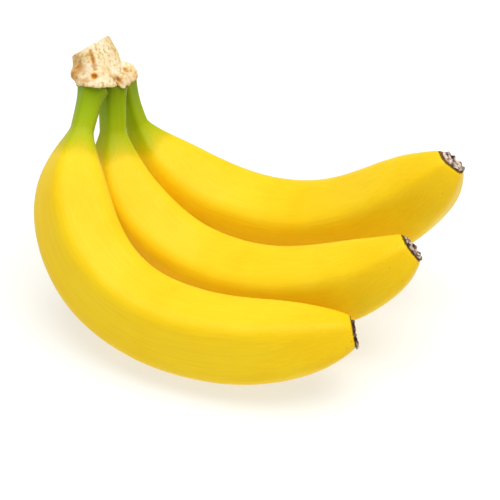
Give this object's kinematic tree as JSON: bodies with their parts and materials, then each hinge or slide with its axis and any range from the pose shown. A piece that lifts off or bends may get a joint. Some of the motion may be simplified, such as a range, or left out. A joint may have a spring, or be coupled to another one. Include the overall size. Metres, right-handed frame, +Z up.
{
  "type": "bunch of bananas",
  "caption": "Small bunch of ripe yellow bananas still joined at a cut, corky crown, with green necks and dark dried blossom ends, lying on its bellies.",
  "frame": {"origin": "on the surface the bunch lies on, below the middle of its outline", "axes": "+Z up; +X from the crown towards the blossom ends, along the longest side; +Y from the front fruit towards the back fruit"},
  "size_m": [0.1864, 0.1508, 0.1035],
  "materials": {
    "peel": "satin banana peel, yellow with an amber underside and a lime green neck",
    "crown_cork": "matt, pale, corky and fibrous where the stem was cut",
    "dried_flower": "matt, dark brown and crusty, with pale flecks"
  },
  "bodies": {
    "root": {"crown": "crown_cork", "banana_front": "peel", "banana_middle": "peel", "banana_back": "peel", "blossom_end_front": "dried_flower", "blossom_end_middle": "dried_flower", "blossom_end_back": "dried_flower"}
  },
  "joints": []
}
